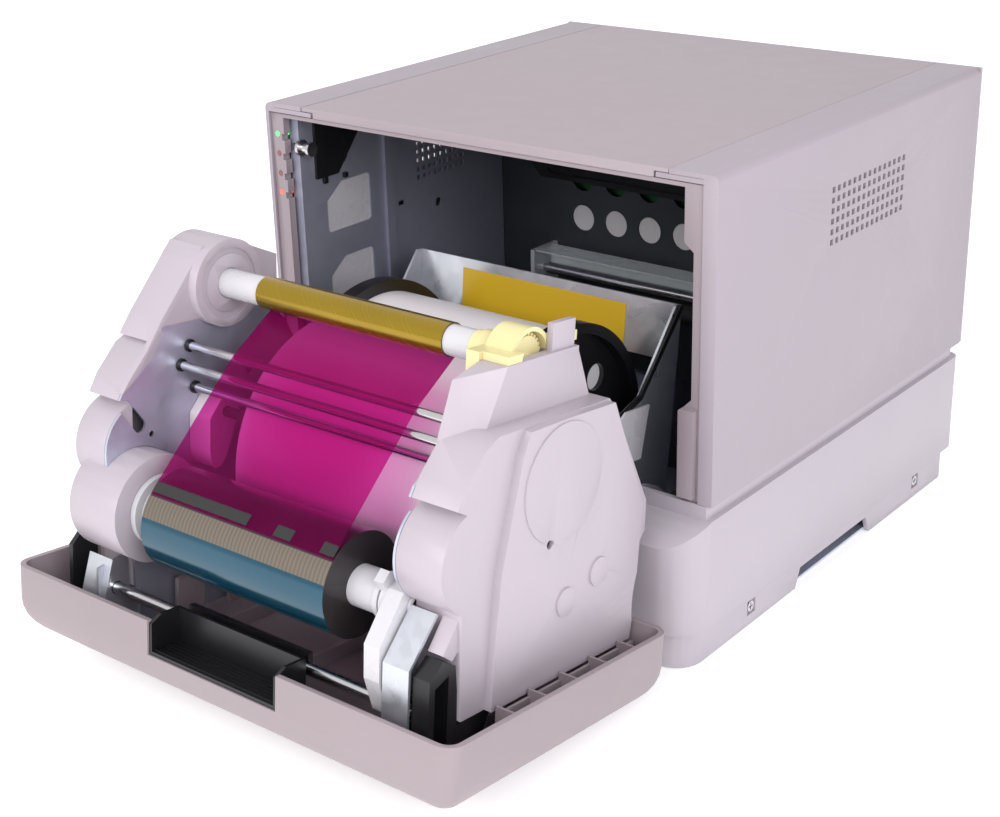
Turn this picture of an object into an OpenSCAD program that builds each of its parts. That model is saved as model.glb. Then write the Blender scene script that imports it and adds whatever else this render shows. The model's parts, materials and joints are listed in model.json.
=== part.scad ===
/* [Casing] */
// Width of the casing, the base and the front door
casing_w = 320; // [316:1:330]
// Height of the casing above the table
casing_h = 280; // [280:1:292]
// Depth of the casing behind its front face
casing_d = 312; // [306:1:340]
// Height at which the upper casing sits on the base
split_z = 97; // [96.5:0.5:98]
// Wall of the moulded casing panels
panel_t = 2.6; // [2.2:0.1:3.2]
// Width of the strip of each side panel that wraps on to the top
top_wrap = 29.8; // [24:0.2:36]
// Pitch of the square vent holes in the side panels
vent_pitch = 6.1; // [5.5:0.1:6.6]
// Side of one vent hole
vent_hole = 3.4; // [2.6:0.1:4]

/* [Base] */
// How far the base stands out in front of the casing
base_front = 21.5; // [19:0.5:22]
// Plan radius of the front corners of the base
base_corner_r = 22; // [18:1:26]
// Wall of the base moulding
base_wall = 3; // [2.5:0.1:3.6]
// Height of the inset skirt that carries the feet
skirt_h = 23; // [20:0.5:26]
// Inset of the skirt from the base wall
skirt_inset = 4.5; // [3:0.5:6]
// Height of the arch between the feet
arch_h = 12.5; // [9:0.5:14]
// Thickness of the steel floor plate
floor_t = 1.2; // [1:0.1:1.6]

/* [Front opening] */
// Distance of the opening from the left side of the casing
bezel_left = 13; // [12:0.5:15]
// Distance of the opening from the right side of the casing
bezel_right = 20.8; // [20:0.2:22]
// Distance of the opening from the top of the casing
bezel_top = 8.6; // [7.5:0.1:8.6]
// Thickness of the bezel plate
bezel_t = 4; // [3:0.5:6]
// How far the bezel lies behind the edge of the casing
bezel_step = 1.5; // [1:0.25:2.5]

/* [Door] */
// Angle through which the door is open at rest
door_open = 83.3; // [82:0.1:83.4]
// Distance of the hinge axis behind the casing front
hinge_y = 11; // [10.5:0.1:11.2]
// Height of the hinge axis
hinge_z = 45; // [44.8:0.1:46]
// Depth of the door tray
door_depth = 42; // [38:0.5:42]
// Wall of the door tray
door_wall = 3.2; // [2.6:0.1:3.6]
// Radius between the side walls and the outer face of the door
door_blend = 22; // [18:1:24]
// Height of the lower edge of the shut door
door_bottom = 93; // [92.5:0.1:94]
// Width of the grip notch in the door
notch_w = 94.6; // [80:1:100]
// Depth of the grip notch below the door rim
notch_depth = 19.5; // [16:0.5:20]
// Radius of the hinge pins
hinge_pin_r = 4; // [3:0.25:5]

/* [Ribbon unit] */
// Distance of each steel side frame from the middle
frame_x = 103; // [101:0.5:103]
// Thickness of the steel side frames
frame_t = 1.5; // [1:0.1:2]
// Depth of the left side cover outside its frame
left_cover_t = 24; // [20:1:28]
// Depth of the right side cover outside its frame, at its main face
right_cover_t = 33.1; // [30:0.1:33.1]
// Wall of the side covers
cover_wall = 2.2; // [1.8:0.1:2.6]
// Width of the ribbon
ribbon_w = 132; // [120:1:140]
// Radius of the wound supply ribbon
supply_r = 28; // [22:0.5:29]
// Radius of the wound take-up ribbon
takeup_r = 9.1; // [8.5:0.1:12]
// Radius of the ribbon cores
core_r = 8.2; // [7.5:0.1:8.4]
// Radius of the steel ribbon guide rods
rod_r = 2.5; // [2:0.1:3]
// Thickness of the ribbon web
film_t = 0.4; // [0.4:0.1:0.6]
// Radius of the latch shaft
latch_shaft_r = 3.5; // [3:0.1:4]

/* [Paper roll] */
// Width of the paper on the roll
paper_w = 127; // [118:1:130]
// Radius of the wound paper
paper_r = 64; // [50:1:66]
// Radius of the black roll flanges
flange_r = 71; // [68:0.5:71]
// Thickness of a roll flange rim
flange_t = 10; // [6:0.5:12]
// Thickness of the roll magazine plates
magazine_t = 1.5; // [1:0.1:2]

/* [Hidden] */

half_w = casing_w / 2;
fit = 0.3;
running_fit = 0.05;
tiny = 0.01;

// Hinge frame: shut positions are turned about the hinge axis to the open rest pose
door_top = casing_h - 3;
open_cos = cos(door_open);
open_sin = sin(door_open);
front_arc_y = -(door_depth - door_blend) - hinge_y;
front_arc_z = door_top - door_blend - hinge_z;
front_reach = hinge_y + front_arc_y * open_cos - front_arc_z * open_sin - door_blend;
mid_y = (front_reach + casing_d) / 2;

// Base
ledge_r = 44.5;
base_top = split_z - 8.6;
bay_x = frame_x - 3.3;
foot_clear = 0.4;
arch_y = [106, 200];
arch_slope = 5;
screw_y = [54, 265];
screw_z = 11.5;
floor_z = 2;

// Front opening
open_left = -(half_w - bezel_left);
open_right = half_w - bezel_right;
open_top = casing_h - bezel_top;
jog_z = [150, 155.8, 237.4, 242];
jog_d = 5.8;
indicator_x = -half_w + 7.7;
indicator_z = [casing_h - 19, casing_h - 31.1, casing_h - 43.5, casing_h - 55.3];
indicator_r = 1.6;
strip_x = half_w - 9;

// Interior
left_wall_x = open_left + 5.6;
right_wall_x = open_right + 2.2;
inner_t = 1.2;
partition_y = 205;
stop_hole_r = 9;
striker_y = 9;
striker_z = casing_h - 27.7;
striker_r = 5;
head_c = [166, casing_h - 64];
head_pivot = [190, casing_h - 28];
head_pivot_r = 3;
fan_c = [70, casing_h - 70];
inlet_x = [-135, -108];
inlet_z = [112, 132];
switch_x = [-132, -111];
switch_z = [142, 156];
wire_x = -124;
wire_r = 1.1;
wire_gap = 3.4;

// Ribbon unit, shut positions as [y, z]
supply_c = [42, 236.3];
takeup_c = [156.4, 172.6];
rod_c = [[123.2, 196.3], [113.1, 202.6], [98.4, 192.4]];
lobe_c = [72, 229];
lobe_r = 27;
takeup_boss_r = 25;
supply_boss_r = 30.5;
unit_clear_r = 54;
latch_c = [-7, door_top - 28];
roll_c = [77.7, 76.5];
disc_c = [97.5, 169.5];
platen_c = [86, 184];
platen_shaft_r = 3;
journal_r = 9;
takeup_pin_r = 3;
gear_r = 13;
feed_c = [186, 126];
pinch_c = [190, 136.6];
disc_r = 31.5;
disc_pin_c = [67, 178];
boss_c = [[40, 134], [31.5, 162]];
cover_step = 4.6;
block_t = 16.4;
block_y = 131;
drum_x = 84;
guide_c = [60, 122];
guide_r = 66;
apron_r = 43;

function unit(v) = v / norm(v);
function turned(v, a) = [v[0] * cos(a) - v[1] * sin(a), v[0] * sin(a) + v[1] * cos(a)];

module row() {
  translate([0, -mid_y, 0]) children();
}

// Moves a shut door piece to the open rest pose
module swung() {
  row() translate([0, hinge_y, hinge_z]) rotate([door_open, 0, 0])
    translate([0, -hinge_y, -hinge_z]) children();
}

// A profile in y and z, drawn out along x
module across(x0, x1) {
  translate([x0, 0, 0]) rotate([90, 0, 90]) linear_extrude(x1 - x0) children();
}

// A profile in x and z, drawn out along y
module along(y0, y1) {
  translate([0, y1, 0]) rotate([90, 0, 0]) linear_extrude(y1 - y0) children();
}

// A round bar along x with its axis at [y, z]
module bar(c, r, x0, x1) {
  translate([x0, c[0], c[1]]) rotate([0, 90, 0]) cylinder(r = r, h = x1 - x0, $fn = 64);
}

module both_sides() {
  children();
  mirror([1, 0, 0]) children();
}

module block(x, y, z) {
  translate([x[0], y[0], z[0]]) cube([x[1] - x[0], y[1] - y[0], z[1] - z[0]]);
}

module round_rect(x0, y0, x1, y1, r) {
  translate([x0 + r, y0]) square([x1 - x0 - 2 * r, y1 - y0]);
  translate([x0, y0 + r]) square([x1 - x0, y1 - y0 - 2 * r]);
  for (x = [x0 + r, x1 - r]) for (y = [y0 + r, y1 - r]) translate([x, y]) circle(r = r, $fn = 48);
}

// Plan of the base: large front corners and small rear ones
module base_plan(inset) {
  x = half_w - inset;
  rf = base_corner_r - inset;
  rb = 8 - inset / 2;
  y0 = -base_front + inset;
  y1 = casing_d - inset;
  translate([-x, y0 + rf]) square([2 * x, y1 - y0 - rf - rb]);
  translate([-x + rf, y0]) square([2 * (x - rf), rf + 1]);
  translate([-x + rb, y1 - rb - 1]) square([2 * (x - rb), rb + 1]);
  for (s = [-1, 1]) {
    translate([s * (x - rf), y0 + rf]) circle(r = rf, $fn = 72);
    translate([s * (x - rb), y1 - rb]) circle(r = rb, $fn = 48);
  }
}

// Side view of the base: its front top edge is an arc about the hinge
module base_profile(inset) {
  translate([0, -1]) square([casing_d + 1, base_top - inset + 1]);
  translate([hinge_y, hinge_z]) circle(r = ledge_r - inset, $fn = 120);
  translate([-base_front - 1, -1]) square([base_front + hinge_y, hinge_z + 1]);
}

module arch_cut() {
  across(-half_w - 1, half_w + 1)
    polygon([[arch_y[0] - 1, -1], [arch_y[0] + arch_slope, arch_h], [arch_y[1] - arch_slope, arch_h],
        [arch_y[1] + 1, -1]]);
}

module base_shell() {
  color([0.80, 0.77, 0.81]) row() difference() {
    union() {
      intersection() {
        translate([0, 0, skirt_h]) linear_extrude(base_top - skirt_h) base_plan(0);
        across(-half_w, half_w) base_profile(0);
      }
      translate([0, 0, foot_clear]) linear_extrude(skirt_h - foot_clear) base_plan(skirt_inset);
      intersection() {
        translate([0, 0, base_top - 4]) linear_extrude(split_z - base_top + 4 - fit)
          base_plan(base_wall + fit);
        block([-half_w, half_w], [0, casing_d], [0, split_z]);
      }
    }
    // hollow under the ledge, then the open top behind the sill
    intersection() {
      translate([0, 0, skirt_h + base_wall]) linear_extrude(split_z) base_plan(base_wall);
      across(-half_w, half_w) base_profile(base_wall);
    }
    translate([0, 0, -1]) linear_extrude(skirt_h + base_wall + 3) base_plan(skirt_inset + base_wall);
    block([-half_w + 2 * base_wall + fit, half_w - 2 * base_wall - fit],
        [base_wall, casing_d - 2 * base_wall],
          [base_top - 20, split_z + 1]);
    block([-bay_x, bay_x], [-base_front - 1, base_wall + 1], [10, split_z + 1]);
    arch_cut();
    for (y = screw_y) both_sides()
      block([half_w - skirt_inset - 2, half_w], [y - 4.5, y + 4.5], [screw_z - 4.5, screw_z + 4.5]);
  }
  color([0.80, 0.77, 0.81]) row() {
    sill();
    both_sides() hinge_cheek();
  }
}

module sill() {
  difference() {
    both_sides() block([bay_x, half_w - base_wall - fit], [0, base_wall],
        [base_top - base_wall, split_z - fit]);
    both_sides() block([open_right + 4.5, half_w], [-1, base_wall + 1], [base_top + 6, split_z + 1]);
  }
}

module hinge_cheek() {
  difference() {
    across(bay_x, bay_x + 2.5) intersection() {
      translate([-base_front + 1, floor_z + floor_t + fit])
        square([base_front + 40, base_top - floor_z - floor_t - 2]);
      union() {
        translate([hinge_y, hinge_z]) circle(r = ledge_r - 1, $fn = 120);
        translate([-base_front, 0]) square([base_front + 50, hinge_z]);
      }
    }
    bar([hinge_y, hinge_z], hinge_pin_r, bay_x - 1, bay_x + 5);
  }
}

module base_floor() {
  color([0.70, 0.72, 0.74]) row() difference() {
    translate([0, 0, floor_z]) linear_extrude(floor_t) base_plan(skirt_inset + base_wall + fit);
    block([-bay_x, bay_x], [-base_front, 47], [0, 10]);
    both_sides() for (y = [130 : 12 : 178]) for (x = [40 : 14 : 110])
      block([x, x + 8], [y, y + 3], [0, 10]);
  }
}

module rubber_feet() {
  color([0.15, 0.15, 0.16]) row() both_sides() for (y = [24, casing_d - 30])
    translate([half_w - 30, y, 0]) cylinder(r = 10, h = floor_z, $fn = 48);
}

module base_screws() {
  color([0.75, 0.75, 0.77]) row() both_sides() for (y = screw_y)
    translate([half_w - skirt_inset - 2, y, screw_z]) rotate([0, 90, 0]) difference() {
      cylinder(r = 3.3, h = 1.6, $fn = 40);
      translate([-2.2, -0.45, 0.8]) cube([4.4, 0.9, 1]);
      translate([-0.45, -2.2, 0.8]) cube([0.9, 4.4, 1]);
    }
}

module hinge_pins() {
  color([0.78, 0.78, 0.80]) row() both_sides() {
    bar([hinge_y, hinge_z], hinge_pin_r, bay_x - 7, bay_x + 2.5);
    bar([hinge_y, hinge_z], hinge_pin_r + 3, bay_x + 2.5, bay_x + 4.5);
  }
}

// Side panel in section: wall, rounded top corner and strip on the top
module side_section() {
  r = 4;
  difference() {
    union() {
      translate([half_w - panel_t, split_z]) square([panel_t, casing_h - split_z - r]);
      translate([half_w - top_wrap, casing_h - panel_t]) square([top_wrap - r, panel_t]);
      translate([half_w - r, casing_h - r]) circle(r = r, $fn = 64);
      translate([half_w - top_wrap - 8, casing_h - 2 * panel_t - 0.2]) square([top_wrap + 5.4, panel_t]);
    }
    translate([half_w - r - 20, casing_h - 2 * panel_t - 20.2]) square([20 + r - panel_t, 20]);
  }
}

module vent_grid(x) {
  y0 = 122.2;
  z0 = casing_h - 35;
  for (i = [0 : 14]) for (j = [0 : 5])
    translate([x, y0 + i * vent_pitch, z0 - j * vent_pitch]) cube([6, vent_hole, vent_hole], center = true);
}

module side_panel() {
  difference() {
    along(0, casing_d - panel_t - fit) side_section();
    vent_grid(half_w - panel_t / 2);
  }
}

module right_panel() {
  color([0.80, 0.77, 0.81]) row() {
    side_panel();
    block([strip_x, half_w - 1], [0, 2.4], [split_z, casing_h - panel_t]);
  }
}

module left_panel() {
  color([0.80, 0.77, 0.81]) row() mirror([1, 0, 0]) side_panel();
}

module top_panel() {
  x = half_w - top_wrap - 0.4;
  color([0.81, 0.78, 0.82]) row() {
    block([-x, x], [0, casing_d - panel_t - fit], [casing_h - panel_t, casing_h]);
    block([-x + 9, x - 9], [0, 2.4], [casing_h - panel_t - 3.4, casing_h - panel_t]);
    for (y = [90, 180, 270]) block([-x + 9, x - 9], [y, y + 2],
        [casing_h - panel_t - 5, casing_h - panel_t]);
  }
}

module opening_outline() {
  polygon([[open_left, split_z - 10], [open_right, split_z - 10], [open_right, jog_z[0]],
           [open_right + jog_d, jog_z[1]], [open_right + jog_d, jog_z[2]], [open_right, jog_z[3]],
           [open_right, open_top], [open_left, open_top]]);
}

module front_bezel() {
  y0 = 2.4 + fit;
  color([0.76, 0.73, 0.77]) row() difference() {
    union() {
      block([-half_w + panel_t + fit, half_w - panel_t - fit], [y0, y0 + bezel_t],
          [split_z + fit, casing_h - 2 * panel_t - fit - 0.8]);
      block([-half_w + panel_t + fit, strip_x - fit], [bezel_step, y0 + 1],
          [split_z + fit, casing_h - 2 * panel_t - fit - 0.8]);
      block([open_right - 3, strip_x - 2], [bezel_step - 4, y0], [split_z + 2.5, jog_z[0] + 1]);
    }
    along(-5, 20) opening_outline();
    for (z = indicator_z) {
      translate([indicator_x, -5, z]) rotate([-90, 0, 0]) cylinder(r = indicator_r + 0.1, h = 20, $fn = 32);
      block([open_left - 2, open_left + 1], [-5, 20], [z - 3.8, z + 0.2]);
    }
  }
}

module indicator(z) {
  y0 = bezel_step - 0.2;
  translate([indicator_x, y0, z]) rotate([-90, 0, 0]) {
    cylinder(r = indicator_r, h = 6, $fn = 32);
    translate([0, 0, 4.6 + fit + bezel_step]) cylinder(r = indicator_r + 1, h = 1.5, $fn = 32);
  }
}

module indicator_lenses() {
  color([0.3, 0.85, 0.4]) row() for (z = indicator_z) indicator(z);
}

module rear_panel() {
  y0 = casing_d - panel_t;
  color([0.78, 0.75, 0.79]) row() difference() {
    union() {
      block([-half_w + 0.2, half_w - 0.2], [y0, casing_d], [split_z + fit, casing_h - 0.2]);
      both_sides() block([half_w - 2 * panel_t - 2, half_w - panel_t - fit], [y0 - 8, y0],
          [split_z + 5, casing_h - 12]);
    }
    for (i = [0 : 9]) block([-90 + i * 9, -86 + i * 9], [y0 - 1, casing_d + 1],
        [casing_h - 90, casing_h - 40]);
    translate([fan_c[0], y0 - 1, fan_c[1]]) rotate([-90, 0, 0]) difference() {
      cylinder(r = 28, h = 10, $fn = 72);
      for (r = [20, 12]) difference() {
        cylinder(r = r + 1.2, h = 10, $fn = 60);
        translate([0, 0, -1]) cylinder(r = r - 1.2, h = 12, $fn = 60);
      }
      for (a = [0, 90]) rotate([0, 0, a + 45]) translate([-30, -1.3, 0]) cube([60, 2.6, 10]);
      cylinder(r = 5, h = 10, $fn = 40);
    }
    block(inlet_x, [y0 - 1, casing_d + 1], inlet_z);
    block(switch_x, [y0 - 1, casing_d + 1], switch_z);
    block([-60, -46], [y0 - 1, casing_d + 1], [112, 124]);
    for (x = [-half_w + 14, 0, half_w - 14]) for (z = [split_z + 10, casing_h - 12])
      translate([x, y0 - 1, z]) rotate([-90, 0, 0]) cylinder(r = 1.7, h = 10, $fn = 24);
  }
}

module rear_screws() {
  color([0.6, 0.6, 0.63]) row()
    for (x = [-half_w + 14, 0, half_w - 14]) for (z = [split_z + 10, casing_h - 12])
    translate([x, casing_d - 1.2, z]) rotate([-90, 0, 0]) {
      translate([0, 0, -8]) cylinder(r = 1.6, h = 8, $fn = 24);
    }
}

module fan_frame() {
  y1 = casing_d - panel_t - fit;
  color([0.12, 0.12, 0.13]) row() translate([fan_c[0], y1, fan_c[1]]) rotate([90, 0, 0]) {
    difference() {
      translate([-30, -30, 0]) cube([60, 60, 15]);
      translate([0, 0, -1]) cylinder(r = 27.5, h = 20, $fn = 72);
    }
    translate([0, 0, 12.5]) {
      cylinder(r = 11, h = 2.5, $fn = 48);
      for (a = [0 : 90 : 270]) rotate([0, 0, a + 20]) translate([0, -1.5, 0]) cube([28.5, 3, 2.5]);
    }
  }
}

module fan_rotor() {
  y1 = casing_d - panel_t - fit;
  color([0.16, 0.16, 0.17]) row() translate([fan_c[0], y1, fan_c[1]]) rotate([90, 0, 0]) {
    translate([0, 0, 2]) cylinder(r = 10.5, h = 10, $fn = 48);
    for (a = [0 : 360 / 7 : 359]) rotate([0, 0, a]) translate([9, 0, 7]) rotate([38, 0, 0])
      translate([0, -5.5, -0.6]) cube([17, 11, 1.2]);
  }
}

module power_inlet() {
  y0 = casing_d - panel_t;
  color([0.1, 0.1, 0.11]) row() difference() {
    union() {
      block([inlet_x[0] + 0.2, inlet_x[1] - 0.2], [y0 - 16, casing_d - 0.2],
          [inlet_z[0] + 0.2, inlet_z[1] - 0.2]);
      block([inlet_x[0] - 3, inlet_x[1] + 3], [y0 - 2, y0 - 0.05], [inlet_z[0] - 3, inlet_z[1] + 3]);
    }
    block([inlet_x[0] + 2.5, inlet_x[1] - 2.5], [y0 - 12, casing_d + 1],
        [inlet_z[0] + 2.5, inlet_z[1] - 2.5]);
  }
  color([0.8, 0.8, 0.8]) row() for (x = [-5, 0, 5])
    block([(inlet_x[0] + inlet_x[1]) / 2 + x - 0.7, (inlet_x[0] + inlet_x[1]) / 2 + x + 0.7],
          [y0 - 12, casing_d - 2], [120.5, 123.5]);
}

module power_switch() {
  y = casing_d - 3.4;
  w = (switch_x[1] - switch_x[0]) / 2 - fit;
  h = (switch_z[1] - switch_z[0]) / 2 - fit;
  c = [(switch_x[0] + switch_x[1]) / 2, (switch_z[0] + switch_z[1]) / 2];
  color([0.08, 0.08, 0.09]) row() translate([c[0], y, c[1] - h]) linear_extrude(2 * h) intersection() {
    circle(r = w, $fn = 72);
    union() {
      rotate(7) translate([-w - 1, -6]) square([w + 1, 9]);
      rotate(-7) translate([0, -6]) square([w + 1, 9]);
    }
  }
}

module left_wall() {
  x = left_wall_x;
  color([0.66, 0.69, 0.73]) row() difference() {
    union() {
      block([x - inner_t, x], [8, partition_y - 0.4], [floor_z + floor_t, casing_h - 9]);
      block([x - inner_t - 6.3, x], [8, 8 + inner_t], [split_z + 4, casing_h - 9]);
      block([x, x + 2.2], [82, 89], [120, casing_h - 30]);
    }
    window_cut(29, 69, 193, 224);
    window_cut(29, 69, 140, 175);
    for (i = [0 : 8]) for (j = [0 : 4]) block([x - 5, x + 5], [115 + i * 5.6, 118 + i * 5.6],
        [208 + j * 5.6, 211 + j * 5.6]);
    block([x - 5, x + 5], [95, 101], [195, 198]);
    bar([135, 188.5], 3, x - 5, x + 5);
    bar([striker_y, striker_z], 2.5, x - 5, x + 5);
    bar(head_pivot, head_pivot_r + running_fit, x - 5, x + 5);
  }
}

module window_cut(y0, y1, z0, z1) {
  x = left_wall_x;
  across(x - 4, x + 4) difference() {
    round_rect(y0, z0, y1, z1, 3);
    polygon([[y0 - 1, z1 - 11], [y0 - 1, z1 + 1], [y0 + 15, z1 + 1]]);
  }
}

module window_backs() {
  x = left_wall_x - inner_t;
  y = partition_y + inner_t;
  color([0.85, 0.86, 0.88]) row() {
    for (z = [[189, 228], [136, 179]]) block([x - 2, x], [25, 73], z);
    block([-86, 76], [y, y + 3], [160, 182]);
  }
}

module right_wall() {
  x = right_wall_x;
  color([0.66, 0.69, 0.73]) row() difference() {
    union() {
      block([x, x + inner_t], [10, partition_y - 0.4], [floor_z + floor_t, casing_h - 9]);
      block([x, x + inner_t + 7], [10, 10 + inner_t], [split_z + 4, casing_h - 9]);
    }
    for (y = [60, 120]) across(x - 4, x + 4) round_rect(y, 150, y + 34, 200, 4);
    bar([striker_y + 8, striker_z], 2.5, x - 5, x + 5);
    bar(head_pivot, head_pivot_r + running_fit, x - 5, x + 5);
  }
}

module striker_pins() {
  color([0.75, 0.76, 0.78]) row() {
    bar([striker_y, striker_z], 2.4, left_wall_x - 3, left_wall_x);
    bar([striker_y, striker_z], striker_r, left_wall_x, left_wall_x + 2);
    bar([striker_y, striker_z], 3, left_wall_x + 2, left_wall_x + 8);
    bar([striker_y, striker_z], striker_r - 0.6, left_wall_x + 8, left_wall_x + 10);
  }
}

module sensor_bracket() {
  x = left_wall_x;
  color([0.1, 0.1, 0.11]) row() difference() {
    union() {
      block([x, x + 2], [20, 60], [casing_h - 50, casing_h - 10]);
      block([x, x + 16], [24, 56], [casing_h - 13, casing_h - 10]);
      block([x, x + 2.4], [26, 29], [casing_h - 54, casing_h - 12]);
      block([x, x + 2.4], [44, 47], [casing_h - 54, casing_h - 12]);
    }
    across(x - 1, x + 3) polygon([[38, casing_h - 51], [61, casing_h - 51], [61, casing_h - 24]]);
  }
}

module partition() {
  y = partition_y;
  color([0.45, 0.47, 0.50]) row() difference() {
    union() {
      block([left_wall_x, right_wall_x], [y, y + inner_t], [floor_z + floor_t, casing_h - 9]);
      block([left_wall_x, right_wall_x], [y - 12, y], [casing_h - 10.2, casing_h - 9]);
    }
    for (i = [0 : 5]) for (z = [171, 199])
      translate([-72 + i * 27, y - 2, z]) rotate([-90, 0, 0]) cylinder(r = stop_hole_r, h = 6, $fn = 48);
    block([-60, 60], [y - 2, y + 4], [20, 70]);
  }
}

module print_head() {
  color([0.22, 0.22, 0.24]) row() translate([0, head_c[0], head_c[1]]) rotate([-50, 0, 0]) difference() {
    block([-78, 78], [-9, 9], [-3, 3]);
    block([-70, 70], [-3, 3], [-4, -2.2]);
  }
}

module head_heatsink() {
  color([0.62, 0.64, 0.67]) row() translate([0, head_c[0], head_c[1]]) rotate([-50, 0, 0]) {
    block([-78, 78], [-9, 9], [3, 6]);
    for (i = [0 : 4]) block([-78, 78], [-8.5 + i * 4, -7 + i * 4], [6, 20]);
  }
}

module head_arm() {
  color([0.14, 0.14, 0.15]) row() {
    both_sides() {
      translate([0, head_c[0], head_c[1]]) rotate([-50, 0, 0]) block([78, 81], [-9, 9], [-3, 30]);
      across(78, 81) translate(head_pivot) polygon([[-10, -30], [6, -12], [9, 10], [-10, 10], [-20, -12]]);
    }
    bar(head_pivot + [-18, -6], 3, -78, 78);
    bar(head_pivot, head_pivot_r, left_wall_x - 1, right_wall_x + 1);
  }
}

module feed_roller() {
  color([0.1, 0.1, 0.1]) row() {
    bar(feed_c, 6, -92, 92);
    bar(feed_c, 3, -99, 99);
  }
}

module pinch_roller() {
  color([0.72, 0.73, 0.75]) row() {
    bar(pinch_c, 4, -90, 90);
    bar(pinch_c, 2.5, -99, 99);
  }
}

module clear_guide() {
  color([0.8, 0.85, 0.9, 0.5]) row() {
    block([-94, 94], [197, 198.2], [132, 151]);
    block([-94, 94], [180, 197], [150, 151]);
    both_sides() difference() {
      block([94, 97], [178, partition_y - 0.05], [114, 151]);
      bar(feed_c, 3 + running_fit, 90, 100);
      bar(pinch_c, 2.5 + running_fit, 90, 100);
    }
  }
}

module power_supply() {
  color([0.72, 0.74, 0.76]) row() difference() {
    block([-half_w + 20, -10], [partition_y + 12, casing_d - 14], [floor_z + floor_t, 62]);
    for (i = [0 : 9]) for (j = [0 : 3])
      block([-half_w + 30 + i * 12, -half_w + 37 + i * 12],
          [partition_y + 24 + j * 16, partition_y + 28 + j * 16], [58, 64]);
  }
}

module main_board() {
  y = partition_y + inner_t + 8;
  color([0.12, 0.38, 0.2]) row() block([-125, 125], [y, y + 1.6], [105, 250]);
  color([0.12, 0.12, 0.13]) row() for (p = [[-100, 120, 40, 30, 8], [-30, 140, 34, 34, 4],
      [30, 190, 28, 28, 5],
      [60, 120, 50, 14, 10], [-95, 200, 60, 18, 9]])
    block([p[0], p[0] + p[2]], [y + 1.6, y + 1.6 + p[4]], [p[1], p[1] + p[3]]);
  color([0.75, 0.75, 0.75]) row() for (x = [-118, 118]) for (z = [112, 243])
    translate([x, y - 8, z]) rotate([-90, 0, 0]) cylinder(r = 3, h = 8, $fn = 24);
}

module door_damper() {
  color([0.1, 0.1, 0.11]) row() {
    block([bay_x + 5, bay_x + 33], [6, 52], [floor_z + floor_t, 74]);
    bar([26, 60], 12, bay_x + 33, bay_x + 36);
    block([bay_x + 12, bay_x + 30], [52, 70], [floor_z + floor_t, 58]);
  }
}

// Door tray: layers follow the blend from the rim to the outer face
module door_form(inset, rim) {
  layers = 7;
  corner = 10;
  hull() {
    for (i = [0 : layers]) {
      a = 90 * i / layers;
      shrink = door_blend * (1 - cos(a)) + inset;
      y = -door_depth + door_blend - (door_blend - (inset > 0 ? inset : 0)) * sin(a);
      door_layer(shrink, max(corner - shrink / 3, 2), y, y + 0.2);
    }
    door_layer(inset, max(corner - inset, 2), -0.2, rim);
  }
}

module door_layer(shrink, r, y0, y1) {
  for (x = [-half_w + shrink + r, half_w - shrink - r])
    for (z = [door_bottom + shrink + r, door_top - shrink - r])
      translate([x, y0, z]) rotate([-90, 0, 0]) cylinder(r = r, h = y1 - y0, $fn = 24);
}

module door_panel() {
  rib_x = frame_x + right_cover_t + 3;
  color([0.80, 0.77, 0.81]) swung() {
    difference() {
      door_form(0, 0);
      door_form(door_wall, 1);
      block([-notch_w / 2, notch_w / 2], [-notch_depth, 1], [door_top - 30, door_top + 1]);
    }
    intersection() {
      door_form(0.5, 0);
      union() {
        both_sides() for (z = [112 : 26 : 216])
          block([rib_x, half_w - 1], [-door_depth + 1, -6], [z, z + 1.6]);
        both_sides() block([rib_x, rib_x + 1.6], [-door_depth + 1, -10], [100, 216]);
        both_sides() for (z = [150, 190]) block([98, 101], [-door_depth + 1, -12], [z, z + 20]);
        for (x = [-70, 0, 70]) block([x, x + 1.6], [-door_depth + 1, -30], [100, 225]);
      }
    }
  }
}

module grip_pocket() {
  x = notch_w / 2 - 0.4;
  y0 = -notch_depth + 0.3;
  z0 = door_top - 22;
  color([0.07, 0.07, 0.08]) swung() {
    difference() {
      block([-x, x], [y0 - 0.1, 2], [z0, door_top - 1]);
      block([-x + 2, x - 2], [y0 + 1.9, 5], [z0 + 2, door_top + 1]);
      across(-x - 1, x + 1) polygon([[-2, door_top], [5, door_top - 14], [5, door_top + 1]]);
    }
    for (i = [0 : 5]) block([-x + 2, x - 2], [y0 + 1.8, y0 + 2.8], [z0 + 4 + i * 2.8, z0 + 5.2 + i * 2.8]);
  }
}

module hinge_apron() {
  color([0.79, 0.76, 0.80]) swung() across(-bay_x + 0.8, bay_x - 0.8) {
    difference() {
      translate([hinge_y, hinge_z]) difference() {
        circle(r = apron_r, $fn = 120);
        circle(r = apron_r - 1.8, $fn = 120);
      }
      translate([hinge_y - 7, -10]) square([100, 200]);
      translate([hinge_y - 28, -10]) square([100, 22]);
    }
    translate([hinge_y - 12.5, hinge_z + apron_r - 2.9])
      square([5.5, door_bottom - hinge_z - apron_r + 2.9]);
  }
}

// Outline of a ribbon side, as y and z with the door shut
module unit_outline() {
  difference() {
    union() {
      polygon([[-9.5, 237], [-9.5, 97.5], [0.5, 97.5], [0.5, 90], [30, 84], [65, 85], [125, 121],
          [block_y, 127], [block_y, 217], [126, 227], [110.7, 240.6], [101, 246], [97, 238], [50, 240]]);
      translate(lobe_c) circle(r = lobe_r, $fn = 72);
    }
    translate([hinge_y, hinge_z]) circle(r = unit_clear_r, $fn = 120);
  }
}

// The arm of the left cover that reaches to its take-up boss
module arm_outline() {
  polygon([[block_y - 1, 127], [151, 129.3], [166, 130], [176.5, 158], [178, 187], [141.5, 216.4],
      [block_y - 1, 224.3]]);
  translate(takeup_c) circle(r = takeup_boss_r, $fn = 72);
}

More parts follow.
